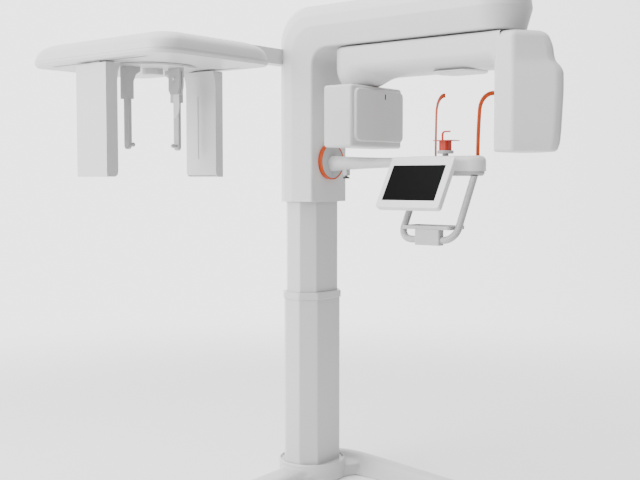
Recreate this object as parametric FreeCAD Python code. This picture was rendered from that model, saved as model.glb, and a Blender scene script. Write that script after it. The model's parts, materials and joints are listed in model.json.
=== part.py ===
import FreeCAD, Part
import os
from math import atan2, cos, degrees, radians, sin, sqrt
from FreeCAD import Vector as V

os.makedirs("parts", exist_ok=True)

# Panoramic x-ray machine, millimetres, floor at z = 0, column axis on the z axis.
# Working axes: +x towards the cephalometric unit, +y towards the front (the way
# the top arm reaches). save() turns every piece half a turn about z, so in the
# exported frame the front is -Y and the cephalometric unit is on -X.

# ---------------------------------------------------------------- driving sizes
WALL = 4.0                    # moulded covers
# stand
COLLAR_R, COLLAR_H, RIM = 145.5, 83.0, 7.0
FLOOR_T = 14.0                # casting's floor
COL_HX, COL_HY, COL_W = 133.0, 95.0, 76.0     # lower column half sizes, half front
COL_WALL, COL_TOP = 5.0, 800.0
MID_IN = 10.0                 # middle column is this much smaller all round
MID_BOT, MID_TOP = 430.0, 1300.0
RING_H, RING_OUT = 30.0, 5.0
LEG_SIDE_TIP, LEG_FRONT_TIP = 720.0, 800.0
# carriage and top arm
CAR_BOT, CAR_FRONT, CAR_BACK = 1214.0, 97.0, -97.0
ARM_BOT, ARM_TOP, ARM_END = 1857.0, 2035.0, 1030.0
BEND_IN, BEND_OUT = 75.0, 145.0
W_IN, W_LINE, W_OUT = 118.5, 142.0, 92.0      # half widths: inner, line, outer face
LINE_T = 86.0                 # inner face to the line of greatest width
# gantry
ROT_Y = 735.0                 # turning axis
GAN_BOT, GAN_TOP, GAN_HW = 1722.0, 1850.0, 110.0
GAN_BACK, GAN_FRONT = 168.0, 981.0
SEN_Y0, SEN_Y1, SEN_HW, SEN_BOT, SEN_TOP = 206.0, 350.0, 177.0, 1439.0, 1690.0
HEAD_BOT, HEAD_TOP = 1409.0, 1850.0
HEAD_Y0, HEAD_Y1, HEAD_HW = 943.0, 1026.0, 110.0
# patient support
RING_Z, RING_R = 1385.0, 77.0
SUP_TOP, SUP_BOT, SUP_HW = 1400.0, 1322.0, 50.0
SUP_Y0, SUP_Y1 = 500.0, 853.0
CHIN_Y = 679.0
TEMPLE_X, TEMPLE_Y = -30.0, (615.0, 806.0)
SCR_Y0, SCR_Y1 = 497.0, 785.0
SCR_TOP, SCR_LOW = (100.0, 1398.0), (220.0, 1203.0)
HND_Y = (580.0, 824.0)
HND_R = 13.5
# cephalometric unit
CEPH_X, CEPH_Y, CEPH_Z = 997.5, 96.0, 1700.0
SLAB_HX, SLAB_HY, SLAB_R = 262.5, 359.0, 80.0
HUB_Y = 106.0                 # ear rod turntable
SLAB_RIM, SLAB_H = 16.0, 86.0
PAN_X = 212.5                 # panels' distance from the slab's middle
SEN_PT, SEN_PW, SEN_PY = 48.0, 157.0, 67.5    # sensor panel: thickness, width, middle
COL_PT, COL_PW, COL_PY = 36.0, 153.0, 141.5   # collimator panel
PAN_BOT = 1318.0
EAR_X, EAR_TIP = 113.0, 1412.0
SLOT_W = 16.0
BAR_Y0, BAR_Y1, BAR_Z0, BAR_Z1 = -115.0, -55.0, 1797.0, 1862.0


def save(shape, name):
    s = shape.copy()
    s.rotate(V(0, 0, 0), V(0, 0, 1), 180)
    s.exportStep("parts/%s.step" % name)


def face(pts):
    """Planar face from straight-edged points."""
    return Part.Face(Part.makePolygon([V(*p) for p in pts] + [V(*pts[0])]))


def prism(pts, z0, z1):
    return face([(x, y, z0) for x, y in pts]).extrude(V(0, 0, z1 - z0))


def box(x0, x1, y0, y1, z0, z1):
    return Part.makeBox(x1 - x0, y1 - y0, z1 - z0, V(x0, y0, z0))


def cyl(r, z0, z1, x=0.0, y=0.0):
    return Part.makeCylinder(r, z1 - z0, V(x, y, z0))


def rod(r, a, b):
    d = V(*b) - V(*a)
    return Part.makeCylinder(r, d.Length, V(*a), d)


def octagon(hx, hy, w):
    c = hx - w                   # 45 degree corner cut
    return [(w, hy), (hx, hy - c), (hx, -(hy - c)), (w, -hy),
            (-w, -hy), (-hx, -(hy - c)), (-hx, hy - c), (-w, hy)]


def col_oct(inset):
    """Column outline, moved inward by inset."""
    return octagon(COL_HX - inset, COL_HY - inset, COL_W - inset * 0.414)


def vertical_edges(s):
    out = []
    for e in s.Edges:
        if len(e.Vertexes) == 2:
            a, b = e.Vertexes[0].Point, e.Vertexes[1].Point
            if abs(a.x - b.x) < 1e-3 and abs(a.y - b.y) < 1e-3 and abs(a.z - b.z) > 1:
                out.append(e)
    return out


def soft_prism(pts, z0, z1, r):
    s = prism(pts, z0, z1)
    return s.makeFillet(r, vertical_edges(s)) if r > 0 else s


def rbox(x0, x1, y0, y1, z0, z1, r):
    return soft_prism([(x0, y0), (x1, y0), (x1, y1), (x0, y1)], z0, z1, r)


def edges_at_z(s, z, tol=0.01):
    return [e for e in s.Edges if e.BoundBox.ZMin > z - tol and e.BoundBox.ZMax < z + tol]


def soften(s, r, z):
    """Fillet the edges in the plane z; the plain shape is kept if that fails."""
    try:
        t = s.makeFillet(r, edges_at_z(s, z))
        return t if t.isValid() else s
    except Part.OCCError:
        return s


# ================================================================== stand
def leg(tip_h, root_h, width, length):
    """A leg along +x, crowned, falling gently to its tip."""
    hw, crown = width / 2.0, width / 4.0
    def section(x, h, k):
        y1, y2 = hw * k, crown * k
        return Part.makePolygon([V(x, -y1, 0), V(x, -y1, h * 0.45), V(x, -y2, h),
                                 V(x, y2, h), V(x, y1, h * 0.45), V(x, y1, 0),
                                 V(x, -y1, 0)])
    return Part.makeLoft([section(0, root_h, 1.0), section(length, tip_h, 0.8)], True, True)


SIDE_LEG_Y, FRONT_LEG_X = 5.0, -168.0
side_leg = leg(42, 62, 150, LEG_SIDE_TIP)
side_leg.translate(V(0, SIDE_LEG_Y, 0))
front_leg = leg(42, 80, 92, LEG_FRONT_TIP - 60)
front_leg.rotate(V(0, 0, 0), V(0, 0, 1), 90)
front_leg.translate(V(FRONT_LEG_X, 60, 0))
side_end = cyl(60, 0, 42, LEG_SIDE_TIP, SIDE_LEG_Y)
front_end = cyl(36.8, 0, 42, FRONT_LEG_X, LEG_FRONT_TIP)
# web that carries the front leg round from the collar
web = prism([(-60, -120), (-150, -60), (-205, 40), (-213, 110), (-213, 190), (-122, 215),
             (-118, 190), (-80, 150), (0, 130)], 0, 76)
web = web.makeFillet(26, [e for e in vertical_edges(web)
                          if e.BoundBox.XMin < -100 and e.BoundBox.YMin < 120
                          and e.BoundBox.YMin > -70])
side_gusset = prism([(90, 110), (110, 118), (170, 85), (235, 66), (235, -55), (150, -75),
                     (110, -100), (60, -110)], 0, 40)
collar = cyl(COLLAR_R, 0, COLLAR_H - RIM).fuse(cyl(COLLAR_R - 4, 0, COLLAR_H))
casting = collar.fuse([side_leg, front_leg, side_end, front_end, web, side_gusset])
pocket = prism(col_oct(-0.4), FLOOR_T, COLLAR_H + 10)
casting = casting.cut(pocket)
ANCHOR_PCD, ANCHOR_R = 150.0, 6.5
for i in range(4):
    t = radians(45 + 90 * i)
    casting = casting.cut(cyl(ANCHOR_R, 0, 40, ANCHOR_PCD / 2 * cos(t), ANCHOR_PCD / 2 * sin(t)))
save(casting.removeSplitter(), "base_casting")

low = soft_prism(col_oct(0), FLOOR_T, COL_TOP, 14)
low = low.cut(soft_prism(col_oct(COL_WALL), FLOOR_T - 1, COL_TOP + 1, 10))
save(low, "column_lower")

# trim ring at the column's mouth
ring = soft_prism(col_oct(-RING_OUT), COL_TOP - 6, COL_TOP + RING_H - 6, 16)
for z in (COL_TOP - 6, COL_TOP + RING_H - 6):
    ring = soften(ring, 4.0, z)
ring = ring.cut(soft_prism(col_oct(0), COL_TOP - 7, COL_TOP, 14))
ring = ring.cut(soft_prism(col_oct(MID_IN - 1.0), COL_TOP - 1, COL_TOP + RING_H, 11))
save(ring, "column_trim_ring")

bush = soft_prism(col_oct(COL_WALL), 640, COL_TOP, 10)
bush = bush.cut(soft_prism(col_oct(MID_IN - 0.35), 639, COL_TOP + 1, 10.5))
save(bush, "column_bushing")

# telescopic actuator standing on the casting's floor
ACT_R, ACT_ROD = 30.0, 18.0
act = cyl(ACT_R, FLOOR_T + 12, 700).fuse(box(-45, 45, -40, 40, FLOOR_T, FLOOR_T + 12))
act = act.cut(cyl(ACT_ROD + 0.05, FLOOR_T + 24, 701))
save(act, "lift_actuator_body")
motor = rbox(34, 84, -30, 30, FLOOR_T + 12, 150, 8).fuse(box(30.0, 36, -16, 16, 40, 90))
motor = motor.cut(cyl(ACT_R, 0, 701))
motor = motor.fuse(box(46, 84, -30, 30, FLOOR_T, FLOOR_T + 12))
save(motor, "lift_motor")

# ================================================================== lift body
mid = soft_prism(col_oct(MID_IN), MID_BOT, MID_TOP, 10)
mid = mid.cut(soft_prism(col_oct(MID_IN + COL_WALL), MID_BOT - 1, MID_TOP + 1, 7))
save(mid, "column_middle")
save(cyl(ACT_ROD, MID_BOT, MID_TOP), "lift_rod")

# carriage and top arm: an L outline, layered across the width
def l_outline(x, t_in, t_out, r_in, r_out, bot, end):
    """L outline in the plane x. t_in and t_out: inset from the inner and outer faces."""
    yi, yo = CAR_FRONT - t_in, CAR_BACK + t_out
    zi, zo = ARM_BOT + t_in, ARM_TOP - t_out
    def p(y, z):
        return V(x, y, z)
    k = sqrt(0.5)
    ci = (yi + r_in, zi - r_in)
    co = (yo + r_out, zo - r_out)
    edges = [Part.makeLine(p(yi, bot), p(yi, ci[1])),
             Part.Arc(p(yi, ci[1]), p(ci[0] - r_in * k, ci[1] + r_in * k),
                      p(ci[0], zi)).toShape(),
             Part.makeLine(p(ci[0], zi), p(end, zi)),
             Part.makeLine(p(end, zi), p(end, zo)),
             Part.makeLine(p(end, zo), p(co[0], zo)),
             Part.Arc(p(co[0], zo), p(co[0] - r_out * k, co[1] + r_out * k),
                      p(yo, co[1])).toShape(),
             Part.makeLine(p(yo, co[1]), p(yo, bot)),
             Part.makeLine(p(yo, bot), p(yi, bot))]
    return Part.Wire(edges)


def frame_solid(grow, bot, end):
    """The cover's outer form; a negative grow gives the form of the space inside."""
    g = -grow
    full = (g, g, BEND_IN + g, BEND_OUT - g * 0.6)
    rows = [(W_OUT - g, full),
            (W_IN - g, (g, 26.0 + g, BEND_IN + g, BEND_OUT - 26)),
            (W_LINE - 6 - g, (62.0, 58.0, BEND_IN + 62, BEND_OUT - 58)),
            (W_LINE - g, (LINE_T - 2, 92.0, BEND_IN + 78, BEND_OUT - 92))]
    wires = [l_outline(x, a, b, ri, ro, bot, end) for x, (a, b, ri, ro) in rows]
    half = Part.makeLoft(wires, True, True)
    core = Part.Face(l_outline(-(W_OUT - g), *full, bot, end)).extrude(V(2 * (W_OUT - g), 0, 0))
    return core.fuse([half, half.mirror(V(0, 0, 0), V(1, 0, 0))])


def arm_plan(grow):
    """Plan outline that rounds the arm's front end."""
    r = W_LINE + grow
    s = box(-r, r, -200, ARM_END - W_LINE, 1000, 2200)
    return s.fuse(cyl(r, 1000, 2200, 0, ARM_END - W_LINE))


outer = frame_solid(0, CAR_BOT, ARM_END).common(arm_plan(0))
inner = frame_solid(-WALL, CAR_BOT - 10, ARM_END).common(arm_plan(-WALL))
shell = outer.cut(inner)
SHAFT_R = 46.0
STAGE = 30.0                       # travel of the gantry's stage, each way
arm_hole = box(-SHAFT_R - 14, SHAFT_R + 14, ROT_Y - STAGE - SHAFT_R - 14,
               ROT_Y + STAGE + SHAFT_R + 14, ARM_BOT - 5, ARM_BOT + 8)
shell = shell.cut(arm_hole)
shell = shell.cut(rod(24, (0, CAR_FRONT - 12, RING_Z), (0, CAR_FRONT + 5, RING_Z)))
JOIN_Y = CAR_FRONT + BEND_IN + 3   # where the arm's cover meets the carriage's
front = box(-200, 200, JOIN_Y, 1200, 1000, 2200)
save(shell.cut(front), "carriage_cover")
save(shell.common(front), "arm_cover")

plate = prism(col_oct(MID_IN), MID_TOP, MID_TOP + 12)
SP0 = MID_TOP + 12
spine = box(-45, 45, -40, 40, SP0, 1960).fuse(box(-45, 45, -40, 935, 1925, 1975))
spine = spine.cut(box(-39, 39, -34, 34, SP0 - 1, 1920)).cut(box(-39, 39, -34, 930, 1931, 1969))
spine = spine.fuse([plate, box(-60, 60, 40, 46, SP0, 1460), box(-60, 60, 86.9, 92.9, SP0, 1460),
                    box(-60, -54, 40, 92.9, SP0, 1460), box(54, 60, 40, 92.9, SP0, 1460)])
# rails that the gantry's stage runs on
RAIL_X = 78.0
for sx in (1, -1):
    x = sx * RAIL_X
    y0, y1 = ROT_Y - 175, ROT_Y + 155
    spine = spine.fuse([box(x - 7, x + 7, y0, y1, 1890, 1904),
                        box(x - 7, x + 7, y0, y0 + 10, 1904, 1931),
                        box(x - 7, x + 7, y1 - 10, y1, 1904, 1931)])
for y0 in (ROT_Y - 175, ROT_Y + 145):
    spine = spine.fuse(box(-RAIL_X - 7, RAIL_X + 7, y0, y0 + 10, 1925, 1937))
save(spine.removeSplitter(), "upper_frame")

# ================================================================== gantry stage
st = box(-92, 92, ROT_Y - 95, ROT_Y + 95, 1868, 1880)
st = st.cut(cyl(SHAFT_R - 6, 1860, 1890, 0, ROT_Y))
for sx in (1, -1):
    b = box(sx * RAIL_X - 14, sx * RAIL_X + 14, ROT_Y - 90, ROT_Y + 90, 1880, 1902)
    b = b.cut(box(sx * RAIL_X - 7.3, sx * RAIL_X + 7.3, ROT_Y - 95, ROT_Y + 95, 1889.7, 1903))
    st = st.fuse(b)
save(st, "stage_plate")
bearing = cyl(SHAFT_R + 8, 1861, 1868, 0, ROT_Y).cut(cyl(SHAFT_R - 5.95, 1860, 1869, 0, ROT_Y))
save(bearing, "gantry_bearing")
rm = cyl(18, 1880, 1918, 0, ROT_Y - 72).fuse(box(-20, 20, ROT_Y - 93, ROT_Y - 50, 1880, 1884))
save(rm, "rotation_motor")

# ================================================================== gantry
SH = SHAFT_R - 6.05
shaft = cyl(SH, GAN_TOP - WALL, 1884, 0, ROT_Y).fuse(cyl(SH + 7, 1880.4, 1884, 0, ROT_Y))
shaft = shaft.fuse(cyl(SHAFT_R + 4, GAN_TOP, 1860.6, 0, ROT_Y))
shaft = shaft.cut(cyl(SH - 12, GAN_TOP - 20, 1890, 0, ROT_Y))


def gantry_form(g):
    """Long soft beam under the top arm; g grows it."""
    hw, y0 = GAN_HW + g, GAN_BACK - g
    z0, z1 = GAN_BOT - g, GAN_TOP + g
    s = box(-hw, hw, y0 + hw, GAN_FRONT, z0, z1).fuse(cyl(hw, z0, z1, 0, y0 + hw))
    s = s.removeSplitter()
    lo = [e for e in edges_at_z(s, z0) if e.BoundBox.YMin <= GAN_FRONT - 1]
    s = s.makeFillet(46 + g, lo)
    hi = [e for e in edges_at_z(s, z1) if e.BoundBox.YMin <= GAN_FRONT - 1]
    return s.makeFillet(22 + g, hi)


BOSS_Y = 278.0
boss = Part.makeCone(62, 96, 30, V(0, BOSS_Y, SEN_TOP + 14))
head_rows = [(HEAD_BOT, 1147, -6), (HEAD_BOT + 10, 1155, 0), (1452, 1164, 0), (1640, 1174, 0),
             (1692, 1173, 0), (1716, 1160, 0), (1738, 1139, 0), (1785, 1131, 0),
             (1826, 1113, 0), (1842, 1098, -4), (HEAD_TOP, 1080, -14)]


def head_wire(z, nose, g):
    hw, y0, y1 = HEAD_HW + g, HEAD_Y0 - g, HEAD_Y1
    nw = 26.0
    pts = [(-hw + 22, y0), (hw - 22, y0), (hw, y0 + 22), (hw, y1 - 10), (hw - 4, y1 + 6),
           (nw + 14, nose - 22 + g), (nw - 8, nose - 3 + g), (0, nose + g),
           (-nw + 8, nose - 3 + g), (-nw - 14, nose - 22 + g), (-hw + 4, y1 + 6),
           (-hw, y1 - 10), (-hw, y0 + 22)]
    return Part.makePolygon([V(x, y, z) for x, y in pts] + [V(pts[0][0], pts[0][1], z)])


def head_form(g, cap):
    rows = [head_wire(z, n, e - g) for z, n, e in head_rows]
    if cap:
        rows = [head_wire(HEAD_BOT + g, head_rows[0][1], head_rows[0][2] - g)] + rows[1:-1]
        rows.append(head_wire(HEAD_TOP - g, 1080, -14 - g))
    return Part.makeLoft(rows, True, True)


g_out = gantry_form(0).fuse(boss).fuse(head_form(0, False))
g_in = gantry_form(-WALL).fuse(head_form(WALL, True))
cover = g_out.cut(g_in)
cover = cover.cut(cyl(SHAFT_R + 5, GAN_TOP - WALL - 1, GAN_TOP + 5, 0, ROT_Y))
cover = cover.cut(cyl(24, SEN_TOP, GAN_BOT + 20, 0, BOSS_Y))
OVAL_Y = 745.0
lens = cyl(104, GAN_BOT - 5, GAN_BOT + 1, 0, OVAL_Y)
lens = lens.makeFillet(4.5, edges_at_z(lens, GAN_BOT - 5))
cover = cover.fuse(lens.common(box(-84, 84, 0, 1200, GAN_BOT - 5, GAN_BOT + 1)))
save(cover, "gantry_cover")
BEAM_Y1 = HEAD_Y0 + 88
beam = box(-40, 40, BOSS_Y - 45, BEAM_Y1, 1756, 1768)
for x0, x1 in ((-40, -34), (34, 40)):
    beam = beam.fuse(box(x0, x1, BOSS_Y - 45, BEAM_Y1, 1768, 1790))
beam = beam.fuse(cyl(SH, 1768, GAN_TOP - WALL, 0, ROT_Y).cut(cyl(SH - 12, 1767, GAN_TOP, 0, ROT_Y)))
save(beam.fuse(shaft).removeSplitter(), "gantry_beam")

# x-ray source inside the head
SRC_Y, TUBE_Z = HEAD_Y0 + 83, 1590.0
tank = rbox(-70, 70, SRC_Y - 57, SRC_Y + 57, 1500, 1700, 14)
tank = tank.cut(rbox(-64, 64, SRC_Y - 51, SRC_Y + 51, 1506, 1694, 10))
tank = tank.fuse(box(-40, 40, SRC_Y - 15, SRC_Y + 5, 1700, 1756))
tank = tank.cut(rod(15.2, (0, SRC_Y - 65, TUBE_Z), (0, SRC_Y - 45, TUBE_Z)))
save(tank, "xray_tank")
save(rod(23, (-52, SRC_Y, TUBE_Z), (52, SRC_Y, TUBE_Z)).fuse(
    box(-64, -52, SRC_Y - 20, SRC_Y + 20, TUBE_Z - 20, TUBE_Z + 20)), "xray_tube")
col = box(-46, 46, SRC_Y - 75, SRC_Y - 57, 1545, 1635)
col = col.cut(box(-40, 40, SRC_Y - 71, SRC_Y - 61, 1551, 1629))
col = col.cut(rod(14, (0, SRC_Y - 80, TUBE_Z), (0, SRC_Y - 55, TUBE_Z)))
save(col, "collimator_box")

# sensor box
def sensor_form(g):
    s = box(-SEN_HW - g, SEN_HW + g, SEN_Y0 - g, SEN_Y1 + g, SEN_BOT - g, SEN_TOP + g)
    return s.makeFillet(12 + g, s.Edges) if 12 + g > 0 else s


def sensor_pad(x0, x1, z0, z1, y0, y1, r):
    s = box(x0, x1, y0, y1, z0, z1)
    ed = [e for e in s.Edges if abs(e.BoundBox.YLength) > 1 and e.BoundBox.XLength < 0.1]
    return s.makeFillet(r, ed)


PAD = 14.0
sen = sensor_form(0)
front_pad = sensor_pad(-SEN_HW + 6, SEN_HW - 16, SEN_BOT + 24, SEN_TOP - 14, SEN_Y1 - 6,
                       SEN_Y1 + PAD, 26)
front_pad = front_pad.makeFillet(8.0, [e for e in front_pad.Edges
                                       if e.BoundBox.YMin > SEN_Y1 + PAD - 0.1])
sen = sen.fuse(front_pad)
sen = sen.fuse(box(-SEN_HW - 7, -SEN_HW + 6, SEN_Y0 + 26, SEN_Y1 - 22, SEN_BOT + 22, SEN_TOP - 48))
sen = sen.cut(sensor_form(-WALL))
sen = sen.cut(cyl(24, SEN_TOP - 10, SEN_TOP + 5, 0, BOSS_Y))
SLIT_X = -38.0
Y_PAD = SEN_Y1 + PAD
sen = sen.cut(box(SLIT_X - 4, SLIT_X + 4, SEN_Y1 - 10, Y_PAD + 5, 1637, 1660))
save(sen, "sensor_cover")
neck = cyl(46, SEN_TOP, SEN_TOP + 14, 0, BOSS_Y).fuse(cyl(23.9, SEN_TOP - 12, 1756, 0, BOSS_Y))
neck = neck.cut(cyl(16, SEN_TOP - 20, 1760, 0, BOSS_Y))
save(neck, "sensor_neck")
save(box(SLIT_X - 3.8, SLIT_X + 3.8, SEN_Y1 - 8, Y_PAD - 0.4, 1637.2, 1659.8).fuse(
    box(SLIT_X - 8, SLIT_X + 8, SEN_Y1 - 16, SEN_Y1 - 8, 1632, 1665)), "laser_window")
det = box(-75, 75, 318, 340, 1462, 1620).cut(box(-70, 70, 322, 336, 1467, 1615))
det = det.fuse(box(-20, 20, 268, 318, 1620 - 14, 1620)).fuse(
    cyl(40, 1606, SEN_TOP - 12, 0, BOSS_Y).cut(cyl(16, 1600, 1700, 0, BOSS_Y)))
save(det.removeSplitter(), "detector_module")

# ================================================================== patient support
def disc_y(r, y0, y1, x=0.0, z=RING_Z):
    return Part.makeCylinder(r, y1 - y0, V(x, y0, z), V(0, 1, 0))


RING_D, DISC_D, RING_T = 20.0, 18.0, 6.0      # ring and disc depth, ring thickness
Y_RING, Y_DISC = CAR_FRONT + RING_D, CAR_FRONT + DISC_D
orange = disc_y(RING_R, CAR_FRONT, Y_RING).cut(disc_y(RING_R - RING_T, CAR_FRONT - 1, 200))
orange = orange.makeFillet(2, [e for e in orange.Edges if e.BoundBox.YMin > Y_RING - 1])
save(orange, "support_ring")
hub = disc_y(RING_R - RING_T - 0.2, CAR_FRONT, Y_DISC)
hub = hub.cut(disc_y(RING_R - RING_T - 6, CAR_FRONT + 4, Y_DISC - 5))
hub = hub.fuse(disc_y(36, CAR_FRONT, Y_DISC)).fuse(disc_y(23.8, 92.9, CAR_FRONT))
hub = hub.cut(disc_y(3.2, Y_DISC - 6, Y_DISC + 1, 3.0, RING_Z - 52))
save(hub, "support_hub_disc")


def ellipse_y(y, rx, rz, zc):
    if rz > rx:
        e = Part.Ellipse(V(0, y, zc + rz), V(rx, y, zc), V(0, y, zc))
    else:
        e = Part.Ellipse(V(rx, y, zc), V(0, y, zc + rz), V(0, y, zc))
    return Part.Wire(e.toShape())


SUP_ZC = 1377.0
tube_rows = [(Y_DISC, 30, 33), (180, 27, 29), (390, 24, 21), (SUP_Y0 + 25, 24, 20)]
arm_o = Part.makeLoft([ellipse_y(y, rx, rz, SUP_ZC) for y, rx, rz in tube_rows], True, False)
arm_i = Part.makeLoft([ellipse_y(y, rx - 5, rz - 5, SUP_ZC) for y, rx, rz in tube_rows],
                      True, False)
save(arm_o.cut(arm_i), "support_arm")

def head_plan(g, y0, y1, z0, z1):
    hw = SUP_HW + g
    s = box(-hw, hw, y0 + 30, y1 + g - hw, z0, z1).fuse(cyl(hw, z0, z1, 0, y1 + g - hw))
    s = s.fuse(prism([(-hw, y0 + 30), (-28 - g, y0 - g), (28 + g, y0 - g), (hw, y0 + 30)], z0, z1))
    return s.removeSplitter()


SEAM = 1340.0
top = head_plan(0, SUP_Y0, SUP_Y1, SEAM, SUP_TOP)
top = soften(top, 22, SUP_TOP)
top_in = head_plan(-WALL, SUP_Y0, SUP_Y1, SEAM - 1, SUP_TOP - WALL)
top = top.cut(soften(top_in, 18, SUP_TOP - WALL))
top = top.cut(Part.makeLoft([ellipse_y(SUP_Y0 - 10, 24.3, 20.3, SUP_ZC),
                             ellipse_y(SUP_Y0 + 60, 24.3, 20.3, SUP_ZC)], True, False))
CHIN_POST = 12.0
top = top.cut(cyl(CHIN_POST + 0.6, SUP_TOP - 20, SUP_TOP + 5, 0, CHIN_Y))
TRAVEL_IN, TRAVEL_OUT = 10.0, 5.0      # temple supports, towards and away from the chin rest
for ty, sg in zip(TEMPLE_Y, (1, -1)):
    ya, yb = ty + sg * (TRAVEL_IN + 6), ty - sg * (TRAVEL_OUT + 6)
    top = top.cut(box(TEMPLE_X - 9.5, TEMPLE_X + 9.5, min(ya, yb), max(ya, yb), SUP_TOP - 20,
                      SUP_TOP + 5))
save(top, "support_head_cover")
pan = head_plan(-2, SUP_Y0 + 60, SUP_Y1 - 4, SUP_BOT, SEAM)
pan = soften(pan, 13, SUP_BOT)
pan = pan.cut(head_plan(-WALL - 2, SUP_Y0 + 62, SUP_Y1 - 4, SUP_BOT + WALL, SEAM + 1))
save(pan, "support_head_pan")
CH_Z = SEAM
chassis = box(-40, 40, SUP_Y0 + 25, SUP_Y1 - 45, CH_Z, CH_Z + 4)
chassis = chassis.fuse(box(-30, 30, 620, 700, SUP_BOT + WALL, CH_Z))
chassis = chassis.fuse(box(-20, 20, SUP_Y0 + 25, SUP_Y0 + 35, CH_Z + 4, SUP_ZC))
guide = cyl(20, CH_Z, 1384, 0, CHIN_Y)
chassis = chassis.fuse(guide).cut(cyl(CHIN_POST + 0.05, 1320, 1400, 0, CHIN_Y))
TRACK_Z, TY0, TY1 = 1350.0, TEMPLE_Y[0] - 24, 832.0
track = box(TEMPLE_X - 5, TEMPLE_X + 5, TY0, TY1, TRACK_Z, TRACK_Z + 6)
for y0 in (TY0, TY1 - 4):
    track = track.fuse(box(TEMPLE_X - 5, TEMPLE_X + 5, y0, y0 + 4, TRACK_Z, TRACK_Z + 14))
for y0 in (TY0 + 6, 780):
    track = track.fuse(box(TEMPLE_X - 5, TEMPLE_X + 5, y0, y0 + 14, CH_Z + 4, TRACK_Z))
save(chassis.fuse(track).removeSplitter(), "support_chassis")

# temple supports: bent strips, toed a little, hooked over at the top
STRIP_T, STRIP_W = 4.5, 17.0
TEMPLE_TOP = 1644.0
TOE = 15.0


def temple(y0, toe, dx, dy):
    """dx, dy: how far the tip reaches sideways and forward."""
    ct, st_ = cos(radians(toe)), sin(radians(toe))
    sec = [(TEMPLE_X, y0, 1392.0), (TEMPLE_X, y0, 1404.0)]
    for k in range(1, 7):
        f = k / 6.0
        sec.append((TEMPLE_X, y0 + 0.22 * dy * f * f, 1404 + 166 * f))
    for k in range(1, 10):
        a = radians(90.0 * k / 9)
        sec.append((TEMPLE_X - dx * (1 - cos(a)), y0 + dy * (0.22 + 0.78 * (1 - cos(a))),
                    1570 + (TEMPLE_TOP - 1570) * sin(a)))
    wires = []
    for i, (x, y, z) in enumerate(sec):
        p0, p1 = sec[max(i - 1, 0)], sec[min(i + 1, len(sec) - 1)]
        h, v = sqrt((p1[0] - p0[0]) ** 2 + (p1[1] - p0[1]) ** 2), p1[2] - p0[2]
        n = V(ct * v, st_ * v, h) * (STRIP_W / 2.0 / sqrt(h * h + v * v))
        w = V(-st_, ct, 0) * (STRIP_T / 2.0)
        c = V(x, y, z)
        q = [c + n - w, c + n + w, c - n + w, c - n - w]
        wires.append(Part.makePolygon(q + [q[0]]))
    s = Part.makeLoft(wires, True, True)
    shoe = box(TEMPLE_X - 5, TEMPLE_X + 5, y0 - 6, y0 + 6, TRACK_Z + 6.3, 1393)
    return s.fuse(shoe)


save(temple(TEMPLE_Y[0], TOE, 50.0, 10.0).removeSplitter(), "temple_support_rear")
save(temple(TEMPLE_Y[1], -TOE, 74.0, 27.0).removeSplitter(), "temple_support_front")

# chin rest
CH0 = SUP_TOP + 22             # top of the collar
CH1 = CH0 + 37                 # underside of the chin plate
post = cyl(CHIN_POST, 1330, CH0 - 12, 0, CHIN_Y)
collar_c = cyl(32, CH0 - 12, CH0, 0, CHIN_Y)
collar_c = collar_c.makeFillet(3, edges_at_z(collar_c, CH0))
save(post.fuse(collar_c), "chin_post")
blk = rbox(-21, 24, CHIN_Y - 20, CHIN_Y + 20, CH0, CH1, 11)
save(blk, "chin_block")
tongue = rbox(-36, 38, CHIN_Y - 42, CHIN_Y + 50, CH1, CH1 + 3, 16)
save(tongue, "chin_plate")
HOOK_R, HOOK_T = 15.0, 6.0
hook = box(-4, 4, CHIN_Y - 17, CHIN_Y - 17 + HOOK_T, CH1 + 3, 1484)
arc = Part.makeCylinder(HOOK_R, 8, V(-4, CHIN_Y - 2, 1484), V(1, 0, 0)).cut(
    Part.makeCylinder(HOOK_R - HOOK_T, 10, V(-5, CHIN_Y - 2, 1484), V(1, 0, 0)))
arc = arc.common(box(-5, 5, CHIN_Y - 18, CHIN_Y - 2, 1484, 1500))
hook = hook.fuse(arc).fuse(box(-4, 4, CHIN_Y - 2, CHIN_Y + 21, 1499 - HOOK_T, 1499))
save(hook.removeSplitter(), "bite_hook")

# touch screen
sx, sz = SCR_LOW[0] - SCR_TOP[0], SCR_LOW[1] - SCR_TOP[1]
SCR_L = sqrt(sx * sx + sz * sz)
SCR_T = 24.0


def on_screen(s):
    """Place a shape drawn flat: x along the slope (top to bottom), y as is, z outward."""
    ang = degrees(atan2(-sz, sx))
    s = s.copy()
    s.rotate(V(0, 0, 0), V(0, 1, 0), ang)
    s.translate(V(SCR_TOP[0], 0, SCR_TOP[1]))
    return s


case = rbox(0, SCR_L, SCR_Y0, SCR_Y1, -SCR_T, 0, 12)
case = case.makeFillet(3, edges_at_z(case, 0))
case = case.cut(rbox(4, SCR_L - 4, SCR_Y0 + 4, SCR_Y1 - 4, -SCR_T + 3, -4, 8))
SCR_W = SCR_Y1 - SCR_Y0
DSP = (0.175 * SCR_L, 0.865 * SCR_L, SCR_Y0 + 0.072 * SCR_W, SCR_Y0 + 0.904 * SCR_W)
case = case.cut(box(DSP[0], DSP[1], DSP[2], DSP[3], -4.5, 1))
save(on_screen(case), "screen_case")
glass = box(DSP[0] + 0.3, DSP[1] - 0.3, DSP[2] + 0.3, DSP[3] - 0.3, -4, -0.4)
glass = glass.fuse(box(DSP[0] - 6, DSP[1] + 6, DSP[2] - 6, DSP[3] + 6, -9, -4))
save(on_screen(glass), "screen_display")
bracket = on_screen(box(20, 90, 600, 700, -SCR_T - 8, -SCR_T))
bracket = bracket.fuse(prism([(SUP_HW, 610), (118, 610), (118, 690), (SUP_HW, 690)],
                              1352, 1372)).cut(on_screen(box(-50, 300, 500, 800, -SCR_T, 60)))
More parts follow.
